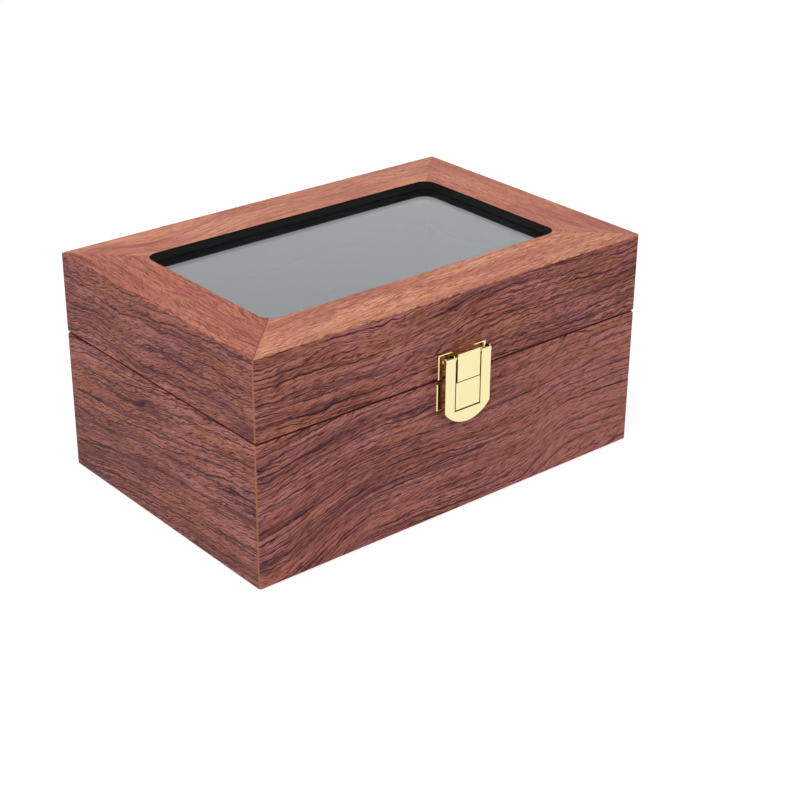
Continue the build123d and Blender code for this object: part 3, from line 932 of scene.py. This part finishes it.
print(hinge_screws("hinge_base_screws", "base", head_up=True).name)
print(hinge_screws("hinge_lid_screws", "lid", head_up=False).name)

# %% [markdown]
# ## Floor, room and lamps
#
# The photograph's ground is pure white. Making it white with light would burn out the box, so
# the floor and the room are white only to the eye and to reflections, by the Light Path node,
# and light the box at a plain level. A lamp's level is what it does to a white card that faces
# it: at level 1 the card shows as white.

# %% Floor and room
light_from_room = 0.55
floor_reach = 4.0
floor_drop = 0.05 * MM  # keeps the floor clear of the felt
floor_paper = (0.8, 0.8, 0.8, 1.0)  # the floor's colour to the light that it sends on
floor_shaded = (0.34, 0.34, 0.34, 1.0)  # its colour to the eye, which keeps the shadow
floor_glow = 0.76  # the rest, up to white


def seen_directly(tree):
    """1 where a ray comes from the eye, a mirror or through glass, and 0 where it gathers light."""
    path = tree.nodes.new("ShaderNodeLightPath")
    share = path.outputs["Is Camera Ray"]
    for name in ("Is Glossy Ray", "Is Transmission Ray"):
        either = tree.nodes.new("ShaderNodeMath")
        either.operation = "MAXIMUM"
        tree.links.new(share, either.inputs[0])
        tree.links.new(path.outputs[name], either.inputs[1])
        share = either.outputs[0]
    return share


def mixed(tree, share, first, second):
    """A shader that is first at share 0 and second at share 1."""
    mix = tree.nodes.new("ShaderNodeMixShader")
    for number, socket in enumerate((share, first, second)):
        tree.links.new(socket, mix.inputs[number])
    return mix.outputs[0]


def white_room():
    """A room that is white to the eye and to mirrors, and lights the box more softly."""
    world = bpy.data.worlds.new("room")
    world.use_nodes = True
    tree = world.node_tree
    tree.nodes.clear()
    levels = []
    for level in (light_from_room, 1.0):
        ground = tree.nodes.new("ShaderNodeBackground")
        ground.inputs["Color"].default_value = (1, 1, 1, 1)
        ground.inputs["Strength"].default_value = level
        levels.append(ground.outputs[0])
    output = tree.nodes.new("ShaderNodeOutputWorld")
    tree.links.new(mixed(tree, seen_directly(tree), *levels), output.inputs["Surface"])
    bpy.context.scene.world = world


def floor():
    """A white floor that keeps a faint shadow and can be looked through from below.

    To the eye it is a grey, on which the shadow falls, plus a glow that makes it white.
    """
    corners = np.array([(-1, -1, 0), (1, -1, 0), (1, 1, 0), (-1, 1, 0)], float) * floor_reach
    corners[:, 2] = -floor_drop
    mesh = bpy.data.meshes.new("floor")
    mesh.from_pydata(corners.tolist(), [], [(0, 1, 2, 3)])
    piece = bpy.data.objects.new("floor", mesh)
    bpy.context.scene.collection.objects.link(piece)
    finish = Finish("white_floor")
    tree = finish.tree
    paper = finish.add("ShaderNodeBsdfDiffuse", {"Color": floor_paper}).outputs[0]
    shaded = finish.add("ShaderNodeBsdfDiffuse", {"Color": floor_shaded}).outputs[0]
    glow = finish.add("ShaderNodeEmission", {"Strength": floor_glow}).outputs[0]
    seen = finish.add("ShaderNodeAddShader", {0: shaded, 1: glow}).outputs[0]
    surface = mixed(tree, seen_directly(tree), paper, seen)
    from_below = finish.add("ShaderNodeNewGeometry").outputs["Backfacing"]
    nothing = finish.add("ShaderNodeBsdfTransparent").outputs[0]
    surface = mixed(tree, from_below, surface, nothing)
    finish.add("ShaderNodeOutputMaterial", {"Surface": surface})
    mesh.materials.append(finish.material)


white_room()
floor()
print("light from the room:", light_from_room)

# %% Lamps


def lamp(name, azimuth, elevation, distance, size, level):
    """A square lamp that looks at the box from azimuth round from the front, and elevation.

    A lamp of P watts lights a card that faces it at distance d by P / (pi d squared), and the card
    gives back 1 / pi of that. So level 1, a white card, is P = pi squared x d squared.
    """
    away = np.array(
        [sin(azimuth) * cos(elevation), -cos(azimuth) * cos(elevation), sin(elevation)]
    )
    data = bpy.data.lights.new(name, "AREA")
    data.shape = "SQUARE"
    data.size = size
    data.energy = level * pi**2 * distance**2
    piece = bpy.data.objects.new(name, data)
    bpy.context.scene.collection.objects.link(piece)
    target = np.array([0, 0, box_height / 2])
    matrix = np.eye(4)
    matrix[:3, :3] = camera_axes(azimuth, elevation, 0.0)
    matrix[:3, 3] = target + away * distance
    piece.matrix_world = Matrix(matrix.tolist())
    return piece


key = lamp("key", radians(-60), radians(55), distance=1.0, size=0.8, level=0.7)
fill = lamp("fill", radians(30), radians(35), distance=1.2, size=0.8, level=0.15)
for light in (key, fill):
    light.visible_glossy = False  # the gold mirrors the white room, not two squares
    print(light.name, round(light.data.energy, 2), "watts")
